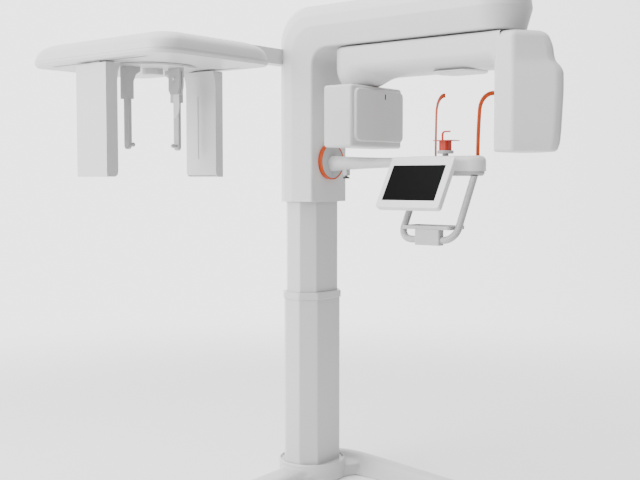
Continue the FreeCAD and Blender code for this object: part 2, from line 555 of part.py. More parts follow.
bracket = bracket.fuse(box(SUP_HW - 14, SUP_HW, 610, 690, 1352, 1372).cut(
    head_plan(0, SUP_Y0, SUP_Y1, SEAM, SUP_TOP)))
save(bracket.removeSplitter(), "screen_bracket")

# U handle
hx0, hz0 = 22.0, 1328.0
hdir = V(0.496, 0, -0.868)
hb = V(hx0, 0, hz0) + hdir * 285.0
R = 52.0
pa, pb = V(hx0, HND_Y[0], hz0), V(hb.x, HND_Y[0], hb.z)
pc, pd = V(hb.x, HND_Y[1], hb.z), V(hx0, HND_Y[1], hz0)
k = 1 - sqrt(0.5)
p1, p2 = pb - hdir * R, pb + V(0, R, 0)
m1 = pb + V(0, R * k, 0) - hdir * (R * k)
p3, p4 = pc - V(0, R, 0), pc - hdir * R
m2 = pc - V(0, R * k, 0) - hdir * (R * k)
path = Part.Wire([Part.makeLine(pa, p1), Part.Arc(p1, m1, p2).toShape(), Part.makeLine(p2, p3),
                  Part.Arc(p3, m2, p4).toShape(), Part.makeLine(p4, pd)])
prof = Part.Wire(Part.makeCircle(HND_R, pa, hdir))
prof_i = Part.Wire(Part.makeCircle(HND_R - 2.5, pa, hdir))
hand = path.makePipeShell([prof], True, False).cut(path.makePipeShell([prof_i], True, False))
hand = hand.cut(box(-60, 120, 400, 900, SUP_BOT, 1400))
save(hand, "grip_handle")
tray_z = 1126.0
tx = hx0 + hdir.x * (hz0 - tray_z) / -hdir.z
clip = rbox(hb.x - 16, hb.x + 20, 657, 767, hb.z - 20, tray_z - 6, 6)
clip = clip.cut(path.makePipeShell([prof], True, False))
tray = rbox(tx - 74, tx + 42, HND_Y[0] + HND_R + 1, HND_Y[1] - HND_R - 1, tray_z - 6, tray_z + 8, 12)
tray = tray.cut(rbox(tx - 71, tx + 39, HND_Y[0] + HND_R + 4, HND_Y[1] - HND_R - 4, tray_z - 3,
                     tray_z + 10, 9))
save(tray.fuse(clip).removeSplitter(), "support_tray")
save(rbox(tx - 60, tx + 28, HND_Y[0] + 24, HND_Y[0] + 92, tray_z - 3, tray_z + 1, 6), "tray_pad")

# emergency stop under the support arm
EST_Y, EST_H, EST_Z = 189.0, 12.0, 1325.0      # middle, half width, underside
ebox = rbox(-EST_H, EST_H, EST_Y - EST_H, EST_Y + EST_H, EST_Z, 1362, 3)
ebox = ebox.cut(arm_o).cut(rbox(-9.5, 9.5, EST_Y - 9.5, EST_Y + 9.5, EST_Z + 3, 1343, 2))
ebox = ebox.cut(cyl(6.05, EST_Z - 2, EST_Z + 5, 0, EST_Y))
save(ebox, "stop_box")
btn = cyl(6.0, EST_Z - 5, EST_Z + 4, 0, EST_Y).fuse(cyl(14, EST_Z - 13, EST_Z - 5.5, 0, EST_Y))
btn = btn.fuse(Part.makeCone(14, 6, 1.5, V(0, EST_Y, EST_Z - 5.5)))
save(btn.fuse(cyl(8.5, EST_Z + 3.3, EST_Z + 5.3, 0, EST_Y)), "stop_button")

# ================================================================== cephalometric unit
def bar_form(t):
    y0, y1 = BAR_Y0 + t, BAR_Y1 - t
    pts = [(70 - 2 * t, BAR_Z0 + t), (560 + t / 2, BAR_Z0 + t), (650 + t / 2, 1722 + t),
           (800 - t, 1722 + t), (800 - t, 1745 - t), (764 - t / 2, 1745 - t),
           (735 - t, 1775 - t / 2), (700 - t / 2, BAR_Z1 - t), (70 - 2 * t, BAR_Z1 - t)]
    return face([(x, y0, z) for x, z in pts]).extrude(V(0, y1 - y0, 0))


bar_full = bar_form(0.0)
save(bar_full.cut(bar_form(5.0)).cut(outer), "ceph_arm")


def slab_pts(inset):
    hx, hy = SLAB_HX - inset, SLAB_HY - inset
    return [(CEPH_X - hx, CEPH_Y - hy), (CEPH_X + hx, CEPH_Y - hy),
            (CEPH_X + hx, CEPH_Y + hy), (CEPH_X - hx, CEPH_Y + hy)]


def rr_wire(inset, z, r):
    s = soft_prism(slab_pts(inset), z, z + 5, r)
    f = [f for f in s.Faces if f.BoundBox.ZMax < z + 0.01][0]
    return f.OuterWire


crown_rows = [(0, CEPH_Z + SLAB_RIM, SLAB_R), (3, CEPH_Z + 31, SLAB_R - 1),
              (8, CEPH_Z + 47, SLAB_R - 4),
              (24, CEPH_Z + 62, SLAB_R - 4), (55, CEPH_Z + 77, SLAB_R - 6),
              (110, CEPH_Z + SLAB_H, SLAB_R - 10)]
crown = Part.makeLoft([rr_wire(i, z, r) for i, z, r in crown_rows], True, True)
crown_in = Part.makeLoft([rr_wire(i + WALL, z - 3.5, r - 3) for i, z, r in crown_rows], True, True)
upper = crown.cut(crown_in).cut(soft_prism(slab_pts(WALL), CEPH_Z, CEPH_Z + SLAB_RIM, SLAB_R - 3))
upper = upper.cut(bar_full)
save(upper, "ceph_cover_top")
lower_o = Part.makeLoft([rr_wire(6, CEPH_Z, SLAB_R - 4), rr_wire(0, CEPH_Z + 9, SLAB_R),
                         rr_wire(0, CEPH_Z + SLAB_RIM, SLAB_R)], True, True)
lower = lower_o.cut(soft_prism(slab_pts(WALL), CEPH_Z + WALL, CEPH_Z + SLAB_RIM + 1, SLAB_R - 3))
SLOTS = {1: (SEN_PY - 238, SEN_PY + 258), -1: (COL_PY - 158, COL_PY + 178)}
for sgn in (1, -1):
    x = CEPH_X + sgn * PAN_X
    lower = lower.cut(box(x - SLOT_W / 2, x + SLOT_W / 2, SLOTS[sgn][0], SLOTS[sgn][1],
                          CEPH_Z - 1, CEPH_Z + 10))
lower = lower.cut(cyl(50.08, CEPH_Z - 1, CEPH_Z + 10, CEPH_X, HUB_Y)).cut(bar_full)
save(lower, "ceph_cover_bottom")

# frame inside the slab
cf = box(CEPH_X - 165, CEPH_X + 165, CEPH_Y - 60, CEPH_Y + 60, 1745, 1751)
for y0 in (CEPH_Y - 230, CEPH_Y + 190):
    cf = cf.fuse(box(CEPH_X - 226, CEPH_X + 226, y0, y0 + 40, 1745, 1751))
cf = cf.fuse(box(CEPH_X - 226, CEPH_X - 100, CEPH_Y - 40, CEPH_Y - 10, 1745, 1751))
cf = cf.fuse(box(CEPH_X - 60, CEPH_X + 60, CEPH_Y - 230, CEPH_Y + 230, 1745, 1751))
cf = cf.fuse(box(766, CEPH_X - 40, BAR_Y0, BAR_Y1, 1745, 1751))
for dx, dy in ((-180, -210), (180, -210), (-180, 210), (180, 210)):
    cf = cf.fuse(cyl(8, CEPH_Z + WALL, 1745, CEPH_X + dx, CEPH_Y + dy))
save(cf.removeSplitter(), "ceph_chassis")
for name, sgn in (("ceph_sensor_rail", 1), ("ceph_collimator_rail", -1)):
    x = CEPH_X + sgn * PAN_X
    y0, y1 = SLOTS[sgn]
    r = box(x - 6, x + 6, y0 - 5, y1 + 5, 1733, 1745)
    r = r.fuse(box(x - 10, x + 10, y0 - 5, y1 + 5, 1733, 1739))
    save(r.removeSplitter(), name)


def trolley(x, yc):
    t = box(x - 16, x + 16, yc - 30, yc + 30, 1712, 1743)
    t = t.cut(box(x - 10.4, x + 10.4, yc - 40, yc + 40, 1732.6, 1739.4))
    t = t.cut(box(x - 6.4, x + 6.4, yc - 40, yc + 40, 1739, 1744))
    return t.fuse(box(x - 5, x + 5, yc - 22, yc + 22, CEPH_Z - 6, 1712))


def panel(x, yc, inward, thick, width):
    """Hanging panel, its flared top close under the slab, corners rounded on the inner side."""
    h, w = thick / 2.0, width / 2.0
    zt = CEPH_Z - 6
    s = inward
    prof = [(-s * h, PAN_BOT), (s * (h - 14), PAN_BOT), (s * (h - 4), PAN_BOT + 5),
            (s * h, PAN_BOT + 18), (s * h, zt - 60), (s * (h + 3), zt - 34), (s * (h + 9), zt - 14),
            (s * (h + 16), zt), (-s * h, zt)]
    p = face([(x + px, yc - w, pz) for px, pz in prof]).extrude(V(0, width, 0))
    return p.cut(box(x - h + WALL, x + h - WALL, yc - w + WALL, yc + w - WALL,
                     PAN_BOT + WALL, CEPH_Z - 60))


SEN_PX, COL_PX = CEPH_X + PAN_X, CEPH_X - PAN_X
save(panel(SEN_PX, SEN_PY, -1, SEN_PT, SEN_PW), "ceph_sensor_panel")
save(trolley(SEN_PX, SEN_PY), "ceph_sensor_trolley")
# the cover is thinned in a groove where the beam leaves
face_x = COL_PX + COL_PT / 2
p = panel(COL_PX, COL_PY, 1, COL_PT, COL_PW)
p = p.cut(box(face_x - 2.5, face_x + 5, COL_PY - 15, COL_PY + 2, 1383, 1608))
save(p, "ceph_collimator_panel")
save(trolley(COL_PX, COL_PY), "ceph_collimator_trolley")
px0 = face_x - WALL
cp = box(px0 - 12, px0 - 6, COL_PY - 60, COL_PY + 60, 1360, 1630)
cp = cp.cut(box(px0 - 20, px0 + 20, COL_PY - 8.5, COL_PY - 4.5, 1390, 1602))
cp = cp.fuse(box(px0 - 6, px0, COL_PY - 60, COL_PY - 30, 1360, 1630))
save(cp, "ceph_slit_plate")

# ear rod turntable
HUB_R = 50.0
tt = cyl(HUB_R, CEPH_Z - 8, CEPH_Z + 14, CEPH_X, HUB_Y)
tt = tt.fuse(cyl(HUB_R + 10, CEPH_Z + 4.3, CEPH_Z + 14, CEPH_X, HUB_Y))
tt = tt.fuse(cyl(148, CEPH_Z - 8, CEPH_Z - 1.5, CEPH_X, HUB_Y))
for sgn in (1, -1):
    x = CEPH_X + sgn * EAR_X
    tt = tt.cut(box(x - 34, x + 34, HUB_Y - 6, HUB_Y + 6, CEPH_Z - 9, CEPH_Z - 1))
hubc = cyl(36, CEPH_Z - 30, CEPH_Z - 8, CEPH_X, HUB_Y)
hubc = soften(hubc, 6, CEPH_Z - 30)
save(tt.fuse(hubc).removeSplitter(), "ear_turntable")


def ear_arm(sgn):
    """Block, thick upper arm with a gusset towards the middle, thin rod and plug."""
    x = CEPH_X + sgn * EAR_X
    m = -sgn                     # direction to the middle
    top = CEPH_Z - 8.4
    a = box(x - 15, x + 15, HUB_Y - 19, HUB_Y + 15, 1582, top)
    gus = face([(x + m * 15, HUB_Y - 14, top), (x + m * 46, HUB_Y - 14, top),
                (x + m * 46, HUB_Y - 14, top - 14), (x + m * 26, HUB_Y - 14, top - 26),
                (x + m * 15, HUB_Y - 14, top - 52)]).extrude(V(0, 28, 0))
    b = box(x - 6, x + 6, HUB_Y - 13, HUB_Y + 13, EAR_TIP + 13, 1582)
    tip = Part.makeCylinder(13, 12, V(x - 6, HUB_Y, EAR_TIP + 13), V(1, 0, 0))
    stem = box(x - 5, x + 5, HUB_Y - 5.6, HUB_Y + 5.6, top, top + 5)
    d = V(m, 0, 0)
    plug = Part.makeCylinder(5, 12, V(x + m * 6, HUB_Y, EAR_TIP + 16), d)
    ball = Part.makeSphere(7.5, V(x + m * 22, HUB_Y, EAR_TIP + 16))
    return a.fuse([gus, b, tip, stem]), plug.fuse(ball)


for name, sgn in (("left", 1), ("right", -1)):
    arm_s, plug_s = ear_arm(sgn)
    save(arm_s.fuse(plug_s).removeSplitter(), "ear_arm_" + name)

# nasal positioner, hanging in front of the hub
NAS_X, NAS_Y = CEPH_X - 30.0, HUB_Y + 86.0
ntop = CEPH_Z - 8.0
nh = face([(NAS_X, NAS_Y - 28, ntop), (NAS_X, NAS_Y + 28, ntop), (NAS_X, NAS_Y + 28, 1628),
           (NAS_X, NAS_Y + 18, 1602), (NAS_X, NAS_Y - 20, 1602), (NAS_X, NAS_Y - 28, 1616)]).extrude(
    V(9, 0, 0))
nh.translate(V(1.6, 0, 0))
nh2 = nh.mirror(V(NAS_X, 0, 0), V(1, 0, 0))
bridge = box(NAS_X - 10.6, NAS_X + 10.6, NAS_Y - 28, NAS_Y + 28, ntop - 12, ntop)
holder = nh.fuse([nh2, bridge])
holder = holder.cut(rod(4.05, (NAS_X - 20, NAS_Y, 1655), (NAS_X + 20, NAS_Y, 1655)))
save(holder.removeSplitter(), "nasal_holder")
save(rod(4.0, (NAS_X - 12.5, NAS_Y, 1655), (NAS_X + 12.5, NAS_Y, 1655)).fuse(
    [rod(6.5, (NAS_X + 10.6, NAS_Y, 1655), (NAS_X + 12.5, NAS_Y, 1655)),
     rod(6.5, (NAS_X - 12.5, NAS_Y, 1655), (NAS_X - 10.6, NAS_Y, 1655))]), "nasal_pin")
blade = face([(NAS_X - 1.3, NAS_Y - 12, 1667), (NAS_X - 1.3, NAS_Y + 12, 1667),
              (NAS_X - 1.3, NAS_Y + 16, 1560), (NAS_X - 1.3, NAS_Y + 12, 1540),
              (NAS_X - 1.3, NAS_Y - 2, 1521), (NAS_X - 1.3, NAS_Y - 14, 1521),
              (NAS_X - 1.3, NAS_Y - 10, 1545), (NAS_X - 1.3, NAS_Y - 14, 1570)]).extrude(V(2.6, 0, 0))
blade = blade.cut(rod(4.05, (NAS_X - 20, NAS_Y, 1655), (NAS_X + 20, NAS_Y, 1655)))
save(blade, "nasal_blade")
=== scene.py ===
"""Panoramic x-ray machine: camera, materials, visible pieces and studio.

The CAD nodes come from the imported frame. Five of them are replaced by smoother
pieces; every other visible node gets small rounded edges and a material.
"""
import json
import math

import bmesh
import bpy
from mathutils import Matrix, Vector


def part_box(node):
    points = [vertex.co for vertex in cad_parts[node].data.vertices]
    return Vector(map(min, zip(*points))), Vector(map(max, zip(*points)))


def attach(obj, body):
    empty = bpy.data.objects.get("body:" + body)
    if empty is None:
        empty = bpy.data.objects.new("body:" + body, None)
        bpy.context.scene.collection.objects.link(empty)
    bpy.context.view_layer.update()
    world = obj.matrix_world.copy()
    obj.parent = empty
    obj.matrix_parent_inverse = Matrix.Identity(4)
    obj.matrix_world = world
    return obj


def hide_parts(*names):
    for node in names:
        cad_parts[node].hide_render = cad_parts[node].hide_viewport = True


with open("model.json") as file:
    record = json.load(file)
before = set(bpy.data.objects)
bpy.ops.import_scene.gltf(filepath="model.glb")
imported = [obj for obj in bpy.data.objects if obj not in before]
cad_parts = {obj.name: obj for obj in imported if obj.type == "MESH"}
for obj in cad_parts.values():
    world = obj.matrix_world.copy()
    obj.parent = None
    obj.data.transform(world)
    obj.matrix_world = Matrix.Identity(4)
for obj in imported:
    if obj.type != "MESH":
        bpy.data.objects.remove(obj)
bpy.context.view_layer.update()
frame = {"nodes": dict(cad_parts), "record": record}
nodes = frame["nodes"]

# ---------------------------------------------------------------- camera
PHOTO_W = 640
FOCAL_PX = 976.8
CAM_PLACE = (-3.2902, -2.7218, 1.31)
CAM_PITCH, CAM_HEADING = -0.06224, -0.88786

cam_data = bpy.data.cameras.new("camera")
cam_data.sensor_width = 36.0
cam_data.lens = FOCAL_PX * cam_data.sensor_width / PHOTO_W
cam = bpy.data.objects.new("camera", cam_data)
bpy.context.scene.collection.objects.link(cam)
cam.location = CAM_PLACE
cam.rotation_euler = (math.pi / 2 + CAM_PITCH, 0, CAM_HEADING)
bpy.context.scene.camera = cam

# ---------------------------------------------------------------- materials
GRAIN_SCALE, GRAIN_DEPTH = 900.0, 0.0004
MOTTLE_SCALE = 14


def material(name, color, rough, metal=0.0, grain=0.0, mottle=0.0, specular=0.5):
    """Moulded or painted surface: an even colour, with fine grain and faint unevenness."""
    mat = bpy.data.materials.new(name)
    mat.use_nodes = True
    tree = mat.node_tree
    shader = tree.nodes["Principled BSDF"]
    shader.inputs["Base Color"].default_value = (*color, 1)
    shader.inputs["Roughness"].default_value = rough
    shader.inputs["Metallic"].default_value = metal
    shader.inputs["Specular IOR Level"].default_value = specular
    coords = tree.nodes.new("ShaderNodeTexCoord")
    if grain:
        noise = tree.nodes.new("ShaderNodeTexNoise")
        noise.inputs["Scale"].default_value = GRAIN_SCALE
        noise.inputs["Detail"].default_value = 2
        bump = tree.nodes.new("ShaderNodeBump")
        bump.inputs["Strength"].default_value = grain
        bump.inputs["Distance"].default_value = GRAIN_DEPTH
        tree.links.new(coords.outputs["Object"], noise.inputs["Vector"])
        tree.links.new(noise.outputs["Fac"], bump.inputs["Height"])
        tree.links.new(bump.outputs["Normal"], shader.inputs["Normal"])
    if mottle:
        noise = tree.nodes.new("ShaderNodeTexNoise")
        noise.inputs["Scale"].default_value = MOTTLE_SCALE
        spread = tree.nodes.new("ShaderNodeMapRange")
        spread.inputs["To Min"].default_value = rough - mottle
        spread.inputs["To Max"].default_value = rough + mottle
        tree.links.new(coords.outputs["Object"], noise.inputs["Vector"])
        tree.links.new(noise.outputs["Fac"], spread.inputs["Value"])
        tree.links.new(spread.outputs["Result"], shader.inputs["Roughness"])
    return mat


MATS = {
    "white_cover": material("cover_white", (0.60, 0.60, 0.60), 0.42, grain=0.12, mottle=0.03),
    "white_paint": material("paint_white", (0.55, 0.55, 0.55), 0.38, grain=0.15, mottle=0.03),
    "grey_paint": material("paint_grey", (0.40, 0.40, 0.405), 0.40, grain=0.15, mottle=0.03),
    "grey_plastic": material("plastic_grey", (0.42, 0.42, 0.42), 0.48, grain=0.2, mottle=0.03),
    "light_plastic": material("plastic_light", (0.78, 0.78, 0.78), 0.35, grain=0.08),
    "orange": material("orange", (0.50, 0.062, 0.006), 0.34, grain=0.05, specular=0.35),
    "red_orange": material("red_orange", (0.46, 0.030, 0.010), 0.34, grain=0.05, specular=0.35),
    "display": material("display", (0.003, 0.003, 0.003), 0.28, specular=0.03),
    "black_rubber": material("rubber", (0.012, 0.012, 0.012), 0.6, grain=0.3),
    "dark_plastic": material("plastic_dark", (0.02, 0.02, 0.02), 0.45, grain=0.2),
    "nylon": material("nylon", (0.7, 0.68, 0.62), 0.5),
    "steel": material("steel", (0.55, 0.55, 0.55), 0.28, metal=1.0),
    "lead_steel": material("lead_steel", (0.12, 0.125, 0.13), 0.45),
    "tube_glass": material("tube_glass", (0.6, 0.65, 0.63), 0.08),
    "aluminium": material("aluminium", (0.6, 0.6, 0.62), 0.35, metal=1.0),
}
SLOT_OF = {s["node"]: s["material_slot"] for s in frame["record"]["subparts"]}
BODY_OF = {n: b for b, ns in frame["record"]["behaviour"]["bodies"].items() for n in ns}


def paint(obj, slot):
    obj.data.materials.clear()
    obj.data.materials.append(MATS[slot])


for node_name, node in nodes.items():
    paint(node, SLOT_OF[node_name])


# ---------------------------------------------------------------- mesh helpers
# Shapes are drawn in millimetres with +x towards the cephalometric unit and +y
# towards the front; frame_point() turns them into the frame's metres.
def frame_point(x, y, z):
    return Vector((-x / 1000, -y / 1000, z / 1000))


def mm(node_name):
    """A node's box in drawing millimetres: x0, x1, y0, y1, z0, z1."""
    lo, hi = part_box(node_name)
    return (-hi.x * 1000, -lo.x * 1000, -hi.y * 1000, -lo.y * 1000, lo.z * 1000, hi.z * 1000)


def quarter(steps, first=0):
    """Angles of a quarter turn in equal steps."""
    return [math.pi / 2 * k / steps for k in range(first, steps + 1)]


def circle(steps):
    """Angles of a full turn in equal steps."""
    return [2 * math.pi * k / steps for k in range(steps)]


def new_object(name, bm):
    """An object in the scene made from a bmesh, which is used up."""
    mesh = bpy.data.meshes.new(name)
    bm.to_mesh(mesh)
    bm.free()
    obj = bpy.data.objects.new(name, mesh)
    bpy.context.scene.collection.objects.link(obj)
    return obj


def finish_piece(name, bm, node_name, replaced, angle=30, weighted=True, merge=1e-5):
    """Turns a bmesh into a piece that rides on the node's body and stands for nodes."""
    bmesh.ops.remove_doubles(bm, verts=bm.verts, dist=merge)
    bmesh.ops.dissolve_degenerate(bm, dist=1e-7, edges=bm.edges)
    bmesh.ops.recalc_face_normals(bm, faces=bm.faces)
    obj = new_object(name, bm)
    obj.data.shade_smooth()
    obj.data.set_sharp_from_angle(angle=math.radians(angle))
    if weighted:
        normals = obj.modifiers.new("weighted", "WEIGHTED_NORMAL")
        normals.keep_sharp = True
        normals.weight = 100
    slot = SLOT_OF[node_name]
    paint(obj, slot)
    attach(obj, BODY_OF[node_name])
    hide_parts(*replaced)
    return obj


def grid(bm, rings, closed=False, cap0=False, cap1=False):
    """Quads between rings of points; closed joins each ring's ends."""
    verts = [[bm.verts.new(frame_point(*p)) for p in ring] for ring in rings]
    count = len(verts[0])
    for a, b in zip(verts, verts[1:]):
        for j in range(count if closed else count - 1):
            k = (j + 1) % count
            bm.faces.new((a[j], a[k], b[k], b[j]))
    if cap0:
        bm.faces.new(verts[0])
    if cap1:
        bm.faces.new(verts[-1][::-1])


def rounded(pts, radii, seg=6, closed=False):
    """Polyline with its corners rounded by arcs; the radius is the tangent fillet's."""
    n = len(pts)
    out = []
    for i, p in enumerate(pts):
        r = radii[i]
        if (not closed and i in (0, n - 1)) or r <= 0:
            out.append(tuple(p))
            continue
        a, b = Vector(pts[i - 1]), Vector(pts[(i + 1) % n])
        c = Vector(p)
        u, v = (a - c), (b - c)
        lu, lv = u.length, v.length
        u, v = u / lu, v / lv
        ang = math.acos(max(-1, min(1, u.dot(v))))
        if ang > math.pi - 1e-3:
            out.append(tuple(p))
            continue
        t = min(r / math.tan(ang / 2), 0.49 * lu, 0.49 * lv)
        rr = t * math.tan(ang / 2)
        centre = c + (u + v).normalized() * (rr / math.sin(ang / 2))
        s, e = c + u * t - centre, c + v * t - centre
        total = s.angle(e)
        for k in range(seg + 1):
            f = k / seg
            w = (math.sin((1 - f) * total) * s + math.sin(f * total) * e) / math.sin(total)
            out.append(tuple(centre + w))
    return out


def smooth_min(a, b, blend):
    """Lower of two heights, blended where they are within blend of each other."""
    h = max(blend - abs(a - b), 0) / blend
    return min(a, b) - h * h * blend * 0.25


def curve_through(pts, t):
    """Value at t of a smooth curve through (t, value) points that doesn't overshoot."""
    last = len(pts) - 2
    i = next((k for k in range(last) if t <= pts[k + 1][0]), last)
    (t0, v0), (t1, v1) = pts[i], pts[i + 1]
    d = (v1 - v0) / (t1 - t0)
    before = (v0 - pts[i - 1][1]) / (t0 - pts[i - 1][0]) if i > 0 else d
    after = (pts[i + 2][1] - v1) / (pts[i + 2][0] - t1) if i < last else d
    m0 = 0 if before * d <= 0 else 2 * before * d / (before + d)
    m1 = 0 if after * d <= 0 else 2 * after * d / (after + d)
    h = t1 - t0
    s = (t - t0) / h
    return ((2 * s**3 - 3 * s**2 + 1) * v0 + (s**3 - 2 * s**2 + s) * h * m0
            + (-2 * s**3 + 3 * s**2) * v1 + (s**3 - s**2) * h * m1)


# ---------------------------------------------------------------- carriage and top arm
_, _, CAR_BACK, _, CAR_BOT, _ = mm("carriage_cover")
CAR_FRONT = mm("support_ring")[2]          # the cover's front face carries the ring
_, ARM_HW, _, ARM_END, ARM_BOT, ARM_TOP = mm("arm_cover")
BEND_IN, BEND_OUT = 75.0, 145.0            # bend's radius at the inner and outer face
DEPTH = CAR_FRONT - CAR_BACK
FACE_HW, WIDEST, BACK_HW = 118.5, 93.0, 90.0
AXIS_Y = ARM_END - ARM_HW                  # centre of the arm's round end
LIP, LIP_H, EDGE = 5.0, 45.0, 1.5          # turned-in wall at the carriage's mouth
# half section: half width, distance behind the front face
COVER_HALF = rounded(
    [(0, 0), (FACE_HW, 0), (ARM_HW, WIDEST), (136, DEPTH - 56), (119, DEPTH - 25),
     (BACK_HW, DEPTH), (0, DEPTH)],
    [0, 11, 26, 30, 26, 20, 0], seg=5)


def cover_rows():
    """Each section point's half width, y, height along the arm and bend radius."""
    out = []
    for h, u in COVER_HALF:
        f = u / DEPTH
        out.append((h, CAR_FRONT - u, ARM_BOT + f * (ARM_TOP - ARM_BOT),
                    BEND_IN + f * (BEND_OUT - BEND_IN)))
    return out


def cover_side(side, rows):
    """Rings of one side's half section along the L, from the mouth to the arm's end."""
    def upright(inset, z):
        wide, deep = 1 - inset / ARM_HW, 1 - inset / (DEPTH / 2)
        return [(side * h * wide, y * deep, z) for h, y, _, _ in rows]

    rings = [upright(LIP, CAR_BOT + LIP_H), upright(LIP, CAR_BOT + EDGE),
             upright(LIP - EDGE, CAR_BOT), upright(1.0, CAR_BOT), upright(0.0, CAR_BOT + 1.0)]
    rings += [upright(0.0, CAR_BOT + rise) for rise in (140, 280, 420)]
    for a in quarter(24):
        rings.append([(side * h, y + r - r * math.cos(a), z - r + r * math.sin(a))
                      for h, y, z, r in rows])
    for k in range(1, 9):
        f = k / 8
        rings.append([(side * h, (y + r) * (1 - f) + AXIS_Y * f, z) for h, y, z, r in rows])
    return rings


def column_arm_cover():
    """Carriage and top arm in one sweep, round at the arm's end."""
    rows = cover_rows()
    turn = []
    for k in range(1, 48):
        a = math.pi * k / 48
        turn.append([(h * math.cos(a), AXIS_Y + h * math.sin(a), z) for h, _, z, _ in rows])
    bm = bmesh.new()
    grid(bm, cover_side(1, rows) + turn + cover_side(-1, rows)[::-1])
    finish_piece("column_arm_cover", bm, "carriage_cover", ["carriage_cover", "arm_cover"])


# ---------------------------------------------------------------- gantry
_, GAN_HW, _, _, HEAD_BOT, GAN_TOP = mm("gantry_cover")
GAN_BOT = 1722.0
NECK_BOX = mm("sensor_neck")
BOSS_Y = (NECK_BOX[2] + NECK_BOX[3]) / 2   # the beam's round end is centred on the neck
HEAD_Y0, HEAD_Y1 = 943.0, 1026.0           # the head's back, and where its nose begins
R_TOP, BOWL, JOIN = 14.0, 60.0, 14.0       # top edge, rounded underside, fillet to the head
SIDE_TOP = GAN_TOP - R_TOP - 30            # where the beam's flat sides end
NECK_R, NECK_Z = 58.0, 1691.0
FLARE_OUT, FLARE_H, FLARE_RISE, FLARE_BLEND = 52.0, 78.0, 0.34, 12.0
BEAM_START, LEAD = 160.0, 20.0             # rings are closer before and after this stretch
HEAD_EDGE, HEAD_CROWN, CROWN_INSET = 9.0, 30.0, 34.0
DISC_Y, DISC_R, DISC_CUT = 745.0, 104.0, 84.0
# the tube head's nose: height, reach
NOSE_ROWS = [(1409, 1147), (1419, 1155), (1452, 1164), (1560, 1171), (1640, 1174), (1690, 1173),
             (1716, 1161), (1738, 1141), (1760, 1135), (1785, 1131), (1822, 1117), (1850, 1104)]
# the lens disc's edge: inset, height over the beam's underside
DISC_ROWS = [(0, 1), (0.3, -1.2), (1.6, -3.2), (4.5, -4.6), (12, -5.2), (60, -5.6)]


def beam_section():
    """Half section of the beam, from the underside's middle to the top's."""
    out = [(GAN_HW * math.sin(a) ** 0.8, GAN_BOT + BOWL * (1 - math.cos(a) ** 0.8))
           for a in quarter(24)]
    out.append((GAN_HW, SIDE_TOP))
    out += [(GAN_HW - R_TOP * (1 - math.cos(a)), GAN_TOP - R_TOP * (1 - math.sin(a)))
            for a in quarter(7)]
    return out + [(70, GAN_TOP), (30, GAN_TOP), (0, GAN_TOP)]


def beam_z(x, y, z):
    """Height of an underside point, with the flare round the sensor's neck."""
    if z > SIDE_TOP - 1:
        return z
    dy = y - BOSS_Y
    r = math.hypot(x, dy)
    if r <= NECK_R:
        return NECK_Z
    d = r - NECK_R
    out = d if dy < 0 else abs(x) * d / r
    bowl = FLARE_H * (1 - math.sqrt(1 - min(out / FLARE_OUT, 1) ** 2))
    rise = FLARE_RISE * dy * d / r if dy > 0 else 0
    return smooth_min(z, NECK_Z + bowl + rise, FLARE_BLEND)


def beam_steps():
    """Distances from the neck's axis, along the beam and into the head."""
    inner = HEAD_Y0 - LEAD - BOSS_Y
    out = [BEAM_START * k / 22 for k in range(22)]
    out += [BEAM_START + (inner - BEAM_START) * k / 24 for k in range(25)]
    return out + [inner + 6 * k for k in range(1, 9)]


def beam_side(side, section):
    """Rings of one side of the beam; the underside drops where it meets the head."""
    rings = []
    for d in beam_steps():
        y = BOSS_Y + d
        t = max(0.0, min((y - (HEAD_Y0 - JOIN)) / JOIN, 1.0))
        drop = JOIN * (1 - math.sqrt(max(1 - t * t, 0)))
        narrow = 0.994 if y > HEAD_Y0 else 1.0
        rings.append([(side * h * narrow, y,
                       beam_z(h, y, z) - (drop if z < GAN_BOT + BOWL - 1 else 0))
                      for h, z in section])
    return rings


def beam_mesh(bm):
    section = beam_section()
    turn = []
    for k in range(1, 60):
        a = -math.pi * k / 60
        turn.append([(-h * math.cos(a), BOSS_Y + h * math.sin(a),
                      beam_z(-h * math.cos(a), BOSS_Y + h * math.sin(a), z))
                     for h, z in section])
    grid(bm, beam_side(-1, section)[::-1] + turn + beam_side(1, section))


def head_ring(z, inset):
    """The tube head's outline at a height, moved inward by inset."""
    nose = curve_through(NOSE_ROWS, z) - inset
    hw = GAN_HW - inset
    y0, y1 = HEAD_Y0 + inset, HEAD_Y1 - inset * 0.4
    half = [(hw, y0), (hw, y1), (26, nose - 16), (0, nose)]
    pts = half + [(-x, y) for x, y in half[-2::-1]]
    back_r = max(24 - inset * 0.3, 2)
    radii = [back_r, 30, 40, 24, 40, 30, back_r]
    return [(x, y, z) for x, y in rounded(pts, radii, seg=8, closed=True)]


def tube_head_mesh(bm):
    levels = [(HEAD_BOT + HEAD_EDGE * (1 - math.cos(a)), HEAD_EDGE * (1 - math.sin(a)))
              for a in quarter(5)]
    z = HEAD_BOT + 22
    while z < GAN_TOP - 34:
        levels.append((z, 0.0))
        z += 10
    levels += [(GAN_TOP - HEAD_CROWN * (1 - math.sin(a)), CROWN_INSET * (1 - math.cos(a)))
               for a in quarter(8)]
    grid(bm, [head_ring(z, i) for z, i in levels], closed=True, cap0=True, cap1=True)


def lens_disc_mesh(bm):
    """Shallow disc under the beam, cut straight on both sides."""
    rings = []
    for inset, dz in DISC_ROWS:
        cut = DISC_CUT - inset * 0.9
        rings.append([(max(-cut, min(cut, (DISC_R - inset) * math.cos(a))),
                       DISC_Y + (DISC_R - inset) * math.sin(a), GAN_BOT + dz)
                      for a in circle(72)])
    grid(bm, rings, closed=True, cap1=True)


